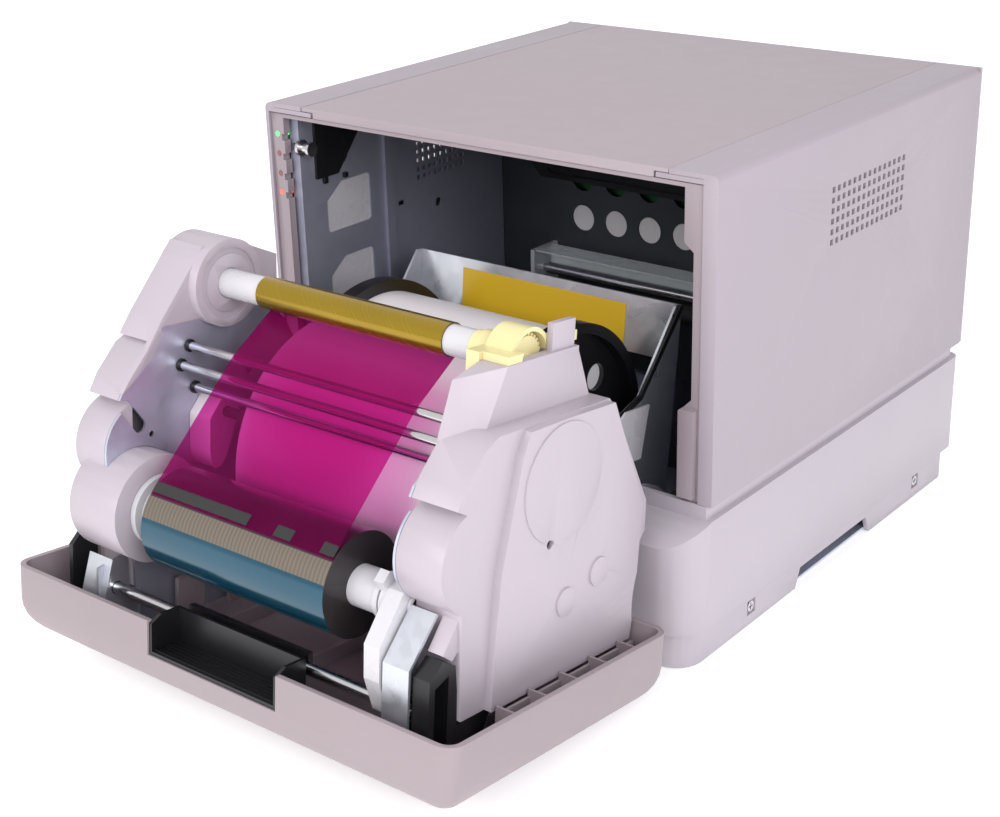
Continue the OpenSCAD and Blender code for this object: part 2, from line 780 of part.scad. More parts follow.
// Where the left steel frame lies in front of the left cover
module frame_window() {
  polygon([[137, 100], [137, 216], [130.3, 217.2], [121.4, 222.2], [112, 233.5], [104, 246], [97, 262],
      [50, 262], [30, 242], [-60, 242], [-60, 60], [60, 60]]);
}

// Outline of a steel frame inside the cover
module frame_outline() {
  difference() {
    union() {
      polygon([[-37, 234], [-37, 114.5], [-33, 103.5], [-4, 103.5], [0, 110], [0, 234]]);
      difference() {
        intersection() {
          union() {
            unit_outline();
            arm_outline();
          }
          frame_window();
        }
        translate([60, 60]) square([80, 31]);
      }
    }
    translate([hinge_y, hinge_z]) circle(r = unit_clear_r + 1, $fn = 120);
    translate(takeup_c) circle(r = core_r + 2, $fn = 60);
    for (c = rod_c) translate(c) circle(r = rod_r + 1.2, $fn = 40);
    translate([90.5, 237.5]) rotate(38) round_rect(-12, -4, 12, 4, 3.9);
    translate([77.5, 224]) circle(r = 1.8, $fn = 32);
    for (c = [[20, 200], [60, 150], [100, 150]]) translate(c) circle(r = 3, $fn = 32);
  }
}

module left_frame() {
  color([0.70, 0.73, 0.78]) swung() across(-frame_x - frame_t, -frame_x) difference() {
    frame_outline();
    translate(supply_c) circle(r = supply_boss_r + fit, $fn = 72);
    translate(takeup_c) circle(r = takeup_boss_r + fit, $fn = 72);
  }
}

module right_frame() {
  color([0.70, 0.73, 0.78]) swung() across(frame_x, frame_x + frame_t) difference() {
    frame_outline();
    translate(supply_c) circle(r = core_r + 2.8, $fn = 60);
  }
}

module left_cover() {
  x0 = -frame_x - frame_t - left_cover_t;
  x1 = -frame_x - frame_t - fit;
  color([0.83, 0.80, 0.83]) swung() {
    difference() {
      union() {
        across(x0, x1) unit_outline();
        across(x0, x1) arm_outline();
        across(x0 + 7, -drum_x) translate(supply_c) circle(r = supply_boss_r, $fn = 96);
        across(x1 - 1, -frame_x + 0.8)
          polygon([[137.3, 129], [151, 129.3], [166, 130], [176.5, 158], [178, 187], [141.5, 216.4],
              [126, 227], [110.7, 240.6], [104.6, 244.8], [112.4, 233.8], [121.7, 222.6],
              [130.5, 217.6], [137.3, 216.3]]);
        across(x1 - 1, -frame_x + 7) translate(takeup_c) circle(r = takeup_boss_r, $fn = 96);
      }
      bar(lobe_c, lobe_r - cover_wall, x0 + cover_wall, x1 - 2);
      across(x0 + cover_wall, x1 - 2)
        polygon([[128, 132], [150, 132.3], [164, 133], [173.5, 159], [175, 185.5], [141, 212.6],
            [128, 213]]);
      across(x0 + cover_wall, x1 + 1)
        polygon([[-6, 104], [0, 101.5], [34, 100.5], [62, 88], [124, 124.5], [128, 130], [128, 208],
            [118, 218], [100, 236], [50, 236], [-6, 233]]);
      across(x0 + 9.2, -drum_x - 3) difference() {
        translate(supply_c) circle(r = supply_boss_r - 2.4, $fn = 96);
        translate(supply_c) circle(r = core_r + 4, $fn = 60);
      }
      bar(supply_c, core_r + fit, x0 + cover_wall, 0);
      bar(takeup_c, core_r + fit, x1 - 4, 0);
      difference() {
        bar(takeup_c, 20, -frame_x + 6, 0);
        bar(takeup_c, 16.5, -half_w, 0);
      }
      bar([131.5, 190], 3.2, x1 - 4, 0);
    }
  }
}

module right_cover() {
  x0 = frame_x + frame_t + fit;
  x1 = x0 + block_t;
  x3 = frame_x + frame_t + right_cover_t;
  x2 = x3 - cover_step;
  color([0.83, 0.80, 0.83]) swung() {
    difference() {
      union() {
        across(x0, x2) unit_outline();
        across(x2 - 1, x3) main_face();
        top_block(x0, x1);
      }
      across(x0 - 1, x2 - cover_wall) offset(delta = -cover_wall) unit_outline();
      across(x2 - cover_wall - 1, x3 - cover_wall) offset(delta = -cover_wall - 0.4) main_face();
      across(x0 + 2, x1 - cover_wall) offset(delta = -cover_wall - 0.3)
        polygon([[block_y - 9, 124], [153, 137], [153, 200], [block_y - 9, 217]]);
      across(x0 - 1, x1 - 6) translate(takeup_c) circle(r = gear_r + 1, $fn = 72);
      bar(disc_pin_c, 2.4, x3 - 6, x3 + 6);
    }
    difference() {
      bar(disc_c, disc_r, x3 - 0.5, x3 + 0.8);
      bar(disc_pin_c, 2.4, x3 - 6, x3 + 6);
      bar(disc_pin_c + [-1, 2], 4, x3, x3 + 6);
    }
    for (c = boss_c) bar(c, 7.8, x3 - 0.5, x3 + 1.2);
    block([x1 - 6, x1], [153, 158.8], [140, 146]);
    block([x1 - 5.6, x1 - 2], [156, 173], [141.5, 160]);
    difference() {
      across(x1 + 0.4, x2 - 2) polygon([[49, 236], [29, 250], [24, 243], [38, 228]]);
      across(x1 + 2.4, x2 - 4) polygon([[46, 236], [30, 247], [27, 243], [38, 231]]);
    }
  }
}

// Upper block of the right cover: its front edge falls away to the outside
module top_block(x0, x1) {
  hull() {
    across(x0, x0 + 0.2) polygon([[block_y - 6, 126], [155, 140], [158.8, 140], [158.8, 198.7],
        [153.1, 219.4], [block_y - 6, 229]]);
    across(x1 - 0.2, x1) polygon([[block_y - 6, 126], [154, 141], [158.8, 141], [158.8, 197.6],
        [block_y - 6, 215]]);
  }
}

module main_face() {
  difference() {
    polygon([[-9.5, 219], [-9.5, 99], [12, 96.5], [68, 95.5], [130, 128], [130.6, 167], [130, 198],
        [118.4, 203.3], [61.8, 215.9], [20, 218.6]]);
    translate([hinge_y, hinge_z]) circle(r = unit_clear_r, $fn = 120);
  }
}

module guide_rods() {
  color([0.80, 0.80, 0.82]) swung() for (c = rod_c) bar(c, rod_r, -frame_x - 6, frame_x + 6);
}

module rod_bushes() {
  color([0.08, 0.08, 0.08]) swung() both_sides() for (c = rod_c) difference() {
    bar(c, rod_r + 1.1, frame_x - 1.5, frame_x + frame_t + 1);
    bar(c, rod_r, frame_x - 5, frame_x + 5);
  }
}

// White chute that the paper runs over, as a thick curve through three arcs

module paper_guide() {
  color([0.93, 0.93, 0.94]) swung() {
    difference() {
      across(-88, 88) difference() {
        translate(guide_c) circle(r = guide_r + 9, $fn = 160);
        translate(guide_c) circle(r = guide_r + 6.5, $fn = 160);
        translate([-100, -100]) square([400, 233]);
        translate([-100, 0]) square([150, 300]);
      }
      block([-72, 72], [70, 100], [150, 230]);
    }
    both_sides() across(86, frame_x - 0.05) difference() {
      polygon([[54, 193], [60, 196.5], [84, 196.5], [94, 188], [94, 178], [84, 174], [54, 186]]);
      translate(platen_c) circle(r = platen_shaft_r + running_fit, $fn = 48);
    }
  }
}

module platen_roller() {
  color([0.13, 0.13, 0.14]) swung() {
    bar(platen_c, 8, -69, 69);
    bar(platen_c, platen_shaft_r, -frame_x + 2, frame_x - 2);
  }
}

module magazine() {
  color([0.68, 0.71, 0.75]) swung() difference() {
    union() {
      both_sides() across(bay_x - 4.2, bay_x - 4.2 + magazine_t) union() {
        polygon([[0, 34], [20, 8], [153, 6], [153, 12], [106, 44], [97, 66], [90, 70], [70, 88],
            [62, 96], [20, 70], [0, 60]]);
        translate([hinge_y, hinge_z]) circle(r = 13, $fn = 60);
      }
      block([-bay_x + 2.8, bay_x - 2.8], [119, 153], [6, 6 + magazine_t]);
      both_sides() bar([hinge_y, hinge_z], 7, bay_x - 6.5, bay_x - 0.5);
      both_sides() block([bay_x - 4.2, frame_x - 0.05], [62, 66], [60, 120]);
    }
    bar([hinge_y, hinge_z], hinge_pin_r + running_fit, -half_w, half_w);
    bar(roll_c, journal_r + fit, -half_w, half_w);
  }
}

// Black trim along the sloping edge of the right magazine plate
module edge_trim() {
  x = bay_x - 4.2 + magazine_t;
  color([0.05, 0.05, 0.06]) swung() across(x, x + 1.7)
    polygon([[152, 6.5], [153.3, 9.6], [107.5, 44.5], [98, 66], [95, 65], [104.6, 42.6], [148, 9]]);
}

// White plate outside the right magazine plate, beside the roll
module roll_guard() {
  x = bay_x - 4.2 + magazine_t;
  color([0.90, 0.90, 0.91]) swung() {
    across(x + 1.8, x + 3.2) polygon([[70, 42], [101, 37], [101, 60], [84, 84], [70, 84]]);
    for (c = [[76, 50], [96, 44], [92, 62]]) bar(c, 2.5, x, x + 1.9);
  }
}

module caution_plate() {
  color([0.93, 0.76, 0.10]) swung()
    block([-61.6, 60.5], [122.4, 147], [6 + magazine_t, 6 + magazine_t + 0.4]);
}

module supply_core() {
  color([0.92, 0.92, 0.92]) swung() difference() {
    union() {
      bar(supply_c, core_r, -frame_x - 14, frame_x + frame_t - 0.1);
      bar(supply_c, 20, -drum_x + 0.4, -drum_x + 4);
      bar(supply_c, 15.5, -drum_x + 4, -ribbon_w / 2 - 4);
      bar(supply_c, 11, -ribbon_w / 2 - 4, -ribbon_w / 2);
      bar(supply_c, 11, ribbon_w / 2, frame_x - 15);
      bar(supply_c, 12.4, frame_x - 19, frame_x - 16);
    }
    bar(supply_c, core_r - 2, frame_x - 29, frame_x + 5);
  }
}

module supply_ribbon() {
  color([0.04, 0.42, 0.50]) swung() difference() {
    bar(supply_c, supply_r, -ribbon_w / 2, ribbon_w / 2);
    bar(supply_c, core_r, -half_w, half_w);
  }
}

module takeup_core() {
  color([0.93, 0.93, 0.93]) swung() {
    bar(takeup_c, core_r, -frame_x - 5, frame_x - 20);
  }
}

module takeup_ribbon() {
  color([0.78, 0.62, 0.10]) swung() difference() {
    bar(takeup_c, takeup_r, -ribbon_w / 2, ribbon_w / 2);
    bar(takeup_c, core_r, -half_w, half_w);
  }
}

module takeup_gear() {
  teeth = 28;
  color([0.95, 0.90, 0.62]) swung() {
    bar(takeup_c, core_r + 1.6, frame_x - 16, frame_x + frame_t + 1);
    bar(takeup_c, core_r + 0.6, frame_x - 20, frame_x - 16);
    bar(takeup_c, gear_r - 1.8, frame_x + frame_t + 1, frame_x + frame_t + 8);
    bar(takeup_c, takeup_pin_r, frame_x + frame_t + 7, frame_x + frame_t + 10);
    translate([frame_x + frame_t + 1.6, takeup_c[0], takeup_c[1]]) rotate([0, 90, 0])
      for (i = [0 : teeth - 1])
        rotate([0, 0, i * 360 / teeth]) translate([gear_r - 2.6, -0.7, 0]) cube([2.6, 1.4, 5.6]);
  }
}

module gear_holder() {
  x0 = frame_x + frame_t + fit;
  color([0.95, 0.90, 0.62]) swung() {
    difference() {
      union() {
        across(x0 - 6, x0 + block_t - 6) intersection() {
          translate(takeup_c) circle(r = gear_r + 3.2, $fn = 72);
          translate([158.9, 140]) square([20, 60]);
        }
        block([x0 - 6, x0 + block_t - 5.8], [158.9, 162], [133 + 28, 197]);
        block([x0 - 6, x0 + block_t - 0.4], [158.9, 163], [185, 197]);
        block([x0 - 8, x0 - 0.1], [150, 163], [187, 199.5]);
        block([x0 + 2, x0 + 9], [158.9, 164], [132, 158]);
      }
      across(x0 - 20, x0 + block_t + 1) translate(takeup_c) circle(r = gear_r + 0.9, $fn = 72);
      across(x0 - 20, x0 + 0.5) polygon([[140, 180], [157.5, 180], [157.5, 186], [149, 200.5],
          [140, 200.5]]);
    }
  }
}

module supply_holders() {
  color([0.90, 0.90, 0.90]) swung() difference() {
    union() {
      across(frame_x - 10, frame_x - 0.05)
        translate(supply_c) polygon([[-51, -0.3], [-51, 19.7], [-32, 26.7], [-14, 27.2], [10, 10.7],
            [15, -0.3], [14, -14.3], [-30, -16.3]]);
      across(frame_x - 14, frame_x - 10) translate(supply_c) circle(r = 13.5, $fn = 60);
      across(frame_x - 16, frame_x - 10) translate(supply_c) polygon([[14, 3.7], [18, 9.7], [13, 14.7],
          [7, 10.7]]);
    }
    bar(supply_c, core_r + fit, 0, half_w);
    bar(latch_c, latch_shaft_r + fit, 0, half_w);
    across(frame_x - 11, frame_x - 6) translate(supply_c) polygon([[-45, 3.7], [-45, 16.7], [-30, 21.7],
        [-16, 20.7], [-18, -8.3], [-28, -10.3]]);
  }
}

module paper_roll() {
  color([0.95, 0.95, 0.96]) swung() difference() {
    bar(roll_c, paper_r, -paper_w / 2, paper_w / 2);
    bar(roll_c, 26, -half_w, half_w);
  }
}

module roll_flanges() {
  color([0.05, 0.05, 0.06]) swung() both_sides() {
    difference() {
      union() {
        bar(roll_c, flange_r, paper_w / 2 + 0.05, paper_w / 2 + 3);
        difference() {
          bar(roll_c, flange_r, paper_w / 2 + 3, paper_w / 2 + flange_t);
          bar(roll_c, flange_r - 6, paper_w / 2, half_w);
        }
        bar(roll_c, 34, paper_w / 2 + 3, paper_w / 2 + flange_t + 3);
      }
      bar(roll_c, 7, 0, paper_w / 2 + flange_t - 1);
      for (a = [0 : 45 : 315]) bar(roll_c + turned([47, 0], a), 8, 0, half_w);
    }
    bar(roll_c, 25.9, 30, paper_w / 2 + 0.05);
    bar(roll_c, journal_r, paper_w / 2 + flange_t, bay_x - 2);
  }
}

module latch_lever() {
  color([0.70, 0.70, 0.72]) swung() {
    bar(latch_c, latch_shaft_r, -frame_x - 12, frame_x + 12);
    block([-44, 44], [latch_c[0] + 1, latch_c[0] + 9], [latch_c[1] - 2, latch_c[1] + 1.5]);
    both_sides() across(frame_x + 6, frame_x + 9)
      polygon([[latch_c[0] - 5, latch_c[1] - 5], [latch_c[0] + 5, latch_c[1] - 5],
          [latch_c[0] + 9, latch_c[1]],
               [latch_c[0] + 9, latch_c[1] + 4], [latch_c[0] - 2, latch_c[1] + 5]]);
  }
}

module latch_brackets() {
  x0 = frame_x + frame_t;
  color([0.68, 0.70, 0.73]) swung() {
    both_sides() across(x0, x0 + 1.5) difference() {
      translate(latch_c) polygon([[-28, -37], [-28, 10], [1, 13], [15, 13], [19, -8], [-3.5, -9],
          [-3.5, -37]]);
      translate(latch_c) circle(r = latch_shaft_r + 0.4, $fn = 40);
    }
    across(x0, x0 + block_t) difference() {
      translate(latch_c) polygon([[51.5, -7], [52.5, -5.7], [29, 13.6], [-27, 13.6], [-27, 12],
          [28.4, 12]]);
      translate(latch_c + [-21, 6]) circle(r = 1, $fn = 24);
    }
    across(-x0 - 14, -x0 + 5) translate(latch_c) polygon([[19, 5.5], [20, 7], [-5, 14], [-27, 14],
        [-27, 12.4], [-5.4, 12.4]]);
    across(-x0 - 14, -x0 - 12.5) translate(latch_c) polygon([[19, 5.5], [-5, 12.5], [-27, 12.5],
        [-27, -7], [-3.5, -7]]);
  }
}

// Black latch housings outside the strips, one on each side
module latch_block() {
  x0 = frame_x + frame_t + block_t;
  color([0.04, 0.04, 0.05]) swung() {
    difference() {
      across(x0 + 0.4, x0 + 11) translate(latch_c) polygon([[28.6, -7.8], [34, 1.8], [26, 11],
          [-26, 11], [-26, -25], [-4, -37], [-3.8, -10.4], [15, -9.6]]);
      across(x0 + 3, x0 + 14) translate(latch_c) polygon([[25, -3], [21, 7], [-21, 7], [-21, -3]]);
    }
    difference() {
      across(x0 - 12, x0 + 0.4) translate(latch_c) polygon([[-5, 1], [-5, 11], [-26, 11], [-26, 1]]);
      bar(latch_c, latch_shaft_r + 1, 0, half_w);
    }
    across(-x0 - 8, -x0 - 5) translate(latch_c) polygon([[23, -4.5], [29, 7], [23, 13], [-23, 13],
        [-26, 3], [-26, -25], [-4, -25], [-3.8, -4.5]]);
    across(-x0 - 5.2, -x0 + 2.2) translate(latch_c) polygon([[-7, -6], [-7, 1], [-26, 1], [-26, -6]]);
  }
}

// Ribbon web: from the top of the supply roll, over the first rod, to the take-up roll
module ribbon_web() {
  clear = fit;
  rod_top = rod_r + 0.2;
  a = supply_c;
  b = rod_c[0];
  d1 = unit(b - a);
  s1 = asin((supply_r + clear - rod_top) / norm(b - a));
  n1 = turned(d1, 90 - s1);
  p1 = a + n1 * (supply_r + clear);
  p2 = b + n1 * rod_top;
  c = takeup_c;
  d2 = unit(c - b);
  reach = takeup_r + clear + film_t;
  s2 = asin((rod_top + reach) / norm(c - b));
  n2 = turned(d2, 90 - s2);
  p3 = b + n2 * rod_top;
  p4 = c - n2 * reach;
  color([0.80, 0.05, 0.55, 0.6]) swung() across(-ribbon_w / 2 + 0.5, ribbon_w / 2 - 0.5) {
    polygon([p1, p2, p2 + n1 * film_t, p1 + n1 * film_t]);
    polygon([p3, p4, p4 + n2 * film_t, p3 + n2 * film_t]);
    intersection() {
      difference() {
        translate(b) circle(r = rod_top + film_t, $fn = 64);
        translate(b) circle(r = rod_top, $fn = 64);
      }
      polygon([b, b + n1 * 9, b + unit(n1 + n2) * 14, b + n2 * 9]);
    }
  }
}

// Held wires between the left wall and the partition, swept along a curve
function bend(p, u) =
  let (v = 1 - u)
  v * v * v * p[0] + 3 * v * v * u * p[1] + 3 * v * u * u * p[2] + u * u * u * p[3];

function frame_at(p, u) =
  let (d = unit(bend(p, u + 0.01) - bend(p, u - 0.01)), s = unit(cross(d, [0, 0, 1])))
  [s, cross(s, d)];

module wire(p, r) {
  rings = 16;
  sides = 8;
  points = [for (i = [0 : rings]) let (u = i / rings, f = frame_at(p, u)) for (j = [0 : sides - 1])
    bend(p, u) + r * (f[0] * cos(j * 360 / sides) + f[1] * sin(j * 360 / sides))];
  walls = [for (i = [0 : rings - 1]) for (j = [0 : sides - 1])
    let (a = i * sides + j, b = i * sides + (j + 1) % sides) [a, a + sides, b + sides, b]];
  ends = [[for (j = [0 : sides - 1]) j], [for (j = [sides - 1 : -1 : 0]) rings * sides + j]];
  polyhedron(points = points, faces = concat(walls, ends), convexity = 4);
}

module wire_harness() {
  color([0.32, 0.20, 0.18]) row() for (i = [0 : 3])
    wire([[wire_x + i * wire_gap, partition_y - 0.6, casing_h - 18],
          [wire_x + 8 + i * wire_gap, partition_y - 33, casing_h - 14],
          [wire_x + 18 + i * wire_gap, partition_y - 39, casing_h - 38],
          [wire_x + 26 + i * wire_gap, partition_y - 0.6, casing_h - 46]], wire_r);
}

base_shell();
base_floor();
rubber_feet();
base_screws();
hinge_pins();
left_panel();
right_panel();
top_panel();
front_bezel();
rear_panel();
indicator_lenses();
left_wall();
right_wall();
window_backs();
partition();
striker_pins();
sensor_bracket();
print_head();
head_heatsink();
head_arm();
feed_roller();
pinch_roller();
clear_guide();
power_supply();
main_board();
fan_frame();
fan_rotor();
power_inlet();
power_switch();
door_damper();
rear_screws();
door_panel();
grip_pocket();
hinge_apron();
left_frame();
right_frame();
left_cover();
right_cover();
guide_rods();
rod_bushes();
paper_guide();
magazine();
edge_trim();
roll_guard();
caution_plate();
platen_roller();
ribbon_web();
supply_core();
supply_ribbon();
takeup_core();
takeup_ribbon();
takeup_gear();
gear_holder();
supply_holders();
paper_roll();
roll_flanges();
latch_lever();
latch_brackets();
latch_block();
wire_harness();
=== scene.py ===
import json
import math

import bmesh
import bpy
from mathutils import Matrix, Vector


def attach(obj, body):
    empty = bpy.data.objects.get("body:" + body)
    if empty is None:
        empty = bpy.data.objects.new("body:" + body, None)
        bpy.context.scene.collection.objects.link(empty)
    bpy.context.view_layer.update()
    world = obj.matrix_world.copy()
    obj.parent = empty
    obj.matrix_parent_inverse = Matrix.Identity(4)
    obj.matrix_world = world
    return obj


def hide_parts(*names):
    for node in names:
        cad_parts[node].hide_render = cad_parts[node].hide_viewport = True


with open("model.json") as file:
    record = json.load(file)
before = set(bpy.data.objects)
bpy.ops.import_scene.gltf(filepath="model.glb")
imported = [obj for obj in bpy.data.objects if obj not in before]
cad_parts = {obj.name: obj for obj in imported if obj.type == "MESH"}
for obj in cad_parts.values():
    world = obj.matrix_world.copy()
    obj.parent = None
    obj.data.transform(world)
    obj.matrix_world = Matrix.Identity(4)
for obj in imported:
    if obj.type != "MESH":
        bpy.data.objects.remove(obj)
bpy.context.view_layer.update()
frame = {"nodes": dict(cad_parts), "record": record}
middle = 44.4087  # millimetres from the casing front back to the origin
print("frame loaded", len(frame["nodes"]), "nodes")


# A node socket that can be added, multiplied and so on, which makes a math node
class Wire:
    def __init__(self, graph, socket):
        self.graph = graph
        self.socket = socket

    def __add__(self, other):
        return self.graph.math("ADD", self, other)

    def __radd__(self, other):
        return self.graph.math("ADD", other, self)

    def __sub__(self, other):
        return self.graph.math("SUBTRACT", self, other)

    def __rsub__(self, other):
        return self.graph.math("SUBTRACT", other, self)

    def __mul__(self, other):
        return self.graph.math("MULTIPLY", self, other)

    def __rmul__(self, other):
        return self.graph.math("MULTIPLY", other, self)

    def __truediv__(self, other):
        return self.graph.math("DIVIDE", self, other)

    def __rtruediv__(self, other):
        return self.graph.math("DIVIDE", other, self)

    def __pow__(self, other):
        return self.graph.math("POWER", self, other)


# A node material: makes nodes, and links sockets or sets them
class Graph:
    def __init__(self, name, **constants):
        self.material = bpy.data.materials.new(name)
        self.material.use_nodes = True
        self.tree = self.material.node_tree
        self.shader = self.tree.nodes["Principled BSDF"]
        for key, value in constants.items():
            self.constant(key, value)

    def constant(self, key, value):
        self.put(self.shader.inputs[key.replace("_", " ")], value)

    def put(self, socket, value):
        if isinstance(value, Wire):
            self.tree.links.new(value.socket, socket)
        elif value is not None:
            if isinstance(value, (tuple, list)) and len(value) == 3 and socket.type == "RGBA":
                value = tuple(value) + (1,)
            socket.default_value = value

    def node(self, kind, out=0, sets=None, **inputs):
        made = self.tree.nodes.new(kind)
        for key, value in (sets or {}).items():
            setattr(made, key, value)
        for key, value in inputs.items():
            key = key.replace("_", " ")
            socket = made.inputs[int(key[1:])] if key[0] == "i" and key[1:].isdigit() else made.inputs[key]
            self.put(socket, value)
        return Wire(self, made.outputs[out])

    def math(self, op, a, b=None, clamp=False):
        return self.node("ShaderNodeMath", sets={"operation": op, "use_clamp": clamp}, i0=a, i1=b)

    def mix(self, fac, a, b):
        return self.node("ShaderNodeMix", 2, {"data_type": "RGBA"}, i0=fac, i6=a, i7=b)

    def ramp(self, value, low, high):
        return self.node("ShaderNodeMapRange", i0=value, i1=low, i2=high)

    def where(self):
        return self.node("ShaderNodeTexCoord", 3)

    def split(self, vector, axis):
        return self.node("ShaderNodeSeparateXYZ", "XYZ".index(axis), i0=vector)

    def noise(self, scale, detail=3.0, rough=0.55, vector=None):
        place = vector or self.where()
        return self.node("ShaderNodeTexNoise", 0, i0=place, Scale=scale, Detail=detail, Roughness=rough)

    def along(self, value):
        return self.node("ShaderNodeCombineXYZ", X=value, Y=0.0, Z=0.0)

    def sideways(self, low, high):
        normal = self.node("ShaderNodeNewGeometry", 1)
        return self.ramp(self.math("ABSOLUTE", self.split(normal, "X")), low, high)

    def feed(self, key, value):
        self.put(self.shader.inputs[key], value)

    def bump(self, height, strength, distance):
        self.feed("Normal", self.node("ShaderNodeBump", Height=height, Strength=strength, Distance=distance))


# The colour with each part multiplied
def scaled(colour, by):
    return tuple(c * by for c in colour)


def mouldedPlastic(name, colour, rough=0.42, grain=1500.0, bumpBy=0.12, vary=0.03, coat=0.0):
    g = Graph(name, IOR=1.5, Coat_Weight=coat)
    broad = g.noise(9.0, 4.0)
    tint = g.ramp(broad, 0.3, 0.7)
    g.feed("Base Color", g.mix(tint, scaled(colour, 1 - vary), colour))
    fine = g.noise(grain, 2.0)
    g.feed("Roughness", rough - 0.05 + 0.1 * g.noise(60.0, 3.0))
    g.bump(fine, bumpBy, 0.0002)
    return g.material


def zincSheet(name, colour, rough=0.34, metal=0.85):
    g = Graph(name)
    cell = g.node("ShaderNodeTexVoronoi", 1, i0=g.where(), Scale=160.0)
    shade = g.split(cell, "X")
    broad = g.noise(14.0, 5.0)
    g.feed("Base Color", g.mix(0.35 * shade + 0.65 * broad, scaled(colour, 0.86), colour))
    g.feed("Metallic", metal)
    g.feed("Roughness", rough + 0.12 * shade - 0.06 * broad)
    g.bump(g.noise(420.0, 3.0) + 0.3 * shade, 0.06, 0.0002)
    return g.material


def brightSteel(name, colour, rough=0.16, lines=900.0):
    g = Graph(name)
    x = g.split(g.where(), "X")
    ring = g.noise(1.0, 2.0, vector=g.along(x * lines))
    g.feed("Base Color", g.mix(ring, scaled(colour, 0.85), colour))
    g.feed("Metallic", 1.0)
    g.feed("Roughness", rough + 0.1 * ring)
    g.bump(ring, 0.05, 0.0001)
    return g.material


materials = {
    "casing": mouldedPlastic("casingPlastic", (0.345, 0.300, 0.343), 0.46),
    "door": mouldedPlastic("doorPlastic", (0.300, 0.250, 0.268), 0.46),
    "top": mouldedPlastic("topPlastic", (0.345, 0.292, 0.320), 0.46),
    "bezel": mouldedPlastic("bezelPlastic", (0.300, 0.250, 0.275), 0.42),
    "base": mouldedPlastic("basePlastic", (0.425, 0.385, 0.430), 0.46),
    "cover": mouldedPlastic("coverPlastic", (0.44, 0.39, 0.44), 0.40),
    "black": mouldedPlastic("blackPlastic", (0.010, 0.010, 0.012), 0.32, 1800.0, 0.15, 0.4),
    "guide": mouldedPlastic("guidePlastic", (0.80, 0.79, 0.81), 0.22, 1200.0, 0.02),
    "white": mouldedPlastic("whitePlastic", (0.57, 0.56, 0.59), 0.28, 1200.0, 0.04),
    "cream": mouldedPlastic("creamPlastic", (0.72, 0.64, 0.33), 0.32, 1200.0, 0.04),
    "rubber": mouldedPlastic("softRubber", (0.02, 0.02, 0.022), 0.7, 2500.0, 0.3, 0.3),
    "zinc": zincSheet("zincSheet", (0.56, 0.58, 0.70), 0.36, 0.7),
    "bright zinc": zincSheet("brightZinc", (0.68, 0.70, 0.76), 0.3),
    # The side walls take the frames' zinc sheet darkened: painted shade from deep inside the cabinet
    "zinc with painted wall shade": zincSheet("wallZinc", (0.39, 0.40, 0.50), 0.4, 0.55),
    # The partition takes the zinc sheet made near black: painted shade deep in the cabinet
    "zinc with painted partition shade": zincSheet("darkZinc", (0.055, 0.06, 0.07), 0.42, 0.7),
    "steel": brightSteel("brightSteel", (0.62, 0.61, 0.63)),
    "aluminium": zincSheet("extrudedAluminium", (0.42, 0.43, 0.45), 0.3, 0.9),
    "board": mouldedPlastic("circuitBoard", (0.02, 0.10, 0.04), 0.35, 700.0, 0.1, 0.3),
    "yellow": mouldedPlastic("yellowPlate", (0.58, 0.37, 0.014), 0.35, 900.0, 0.03, 0.06),
    "wire": mouldedPlastic("wireSleeve", (0.11, 0.05, 0.04), 0.4, 900.0, 0.05, 0.3),
}


# The row of indicator lenses: green at the top, two unlit, red at the bottom
def lensRow():
    values = dict(green=(0.10, 0.75, 0.20), unlit=(0.25, 0.10, 0.09), red=(0.95, 0.10, 0.06),
                  greenAbove=0.255, redBelow=0.231, glow=1.4)  # heights in metres
    off = (0.0, 0.0, 0.0)
    g = Graph("indicatorLens", IOR=1.5, Roughness=0.15, Emission_Strength=values["glow"])
    z = g.split(g.where(), "Z")
    shade = 0.85 + 0.15 * g.noise(900.0, 2.0)
    top = g.math("GREATER_THAN", z, values["greenAbove"])
    low = g.math("LESS_THAN", z, values["redBelow"])
    for key, unlit in (("Base Color", values["unlit"]), ("Emission Color", off)):
        colour = g.mix(low, g.mix(top, unlit, values["green"]), values["red"])
        g.feed(key, g.mix(shade, off, colour))
    return g.material


materials["lens"] = lensRow()


def clearPlastic():
    g = Graph("clearPlastic", IOR=1.5, Roughness=0.1)
    g.feed("Base Color", g.mix(g.noise(40.0), (0.75, 0.82, 0.86), (0.85, 0.9, 0.93)))
    g.feed("Alpha", 0.3 + 0.1 * g.noise(30.0))
    return g.material


# Wound film: thin rings across and slanted wind lines
def woundFilm(name, colour, low, lines=500.0, slant=0.0):
    g = Graph(name, Coat_Weight=0.5, Coat_Roughness=0.06)
    p = g.where()
    x = g.split(p, "X")
    z = g.split(p, "Z")
    band = g.noise(1.0, 4.0, vector=g.along(x * lines + z * slant))
    wave = g.noise(18.0, 3.0)
    side = g.sideways(0.55, 0.9)  # 1 on the end faces
    face = g.mix(0.6 * band + 0.4 * wave, low, colour)
    return g, face, side, band, wave


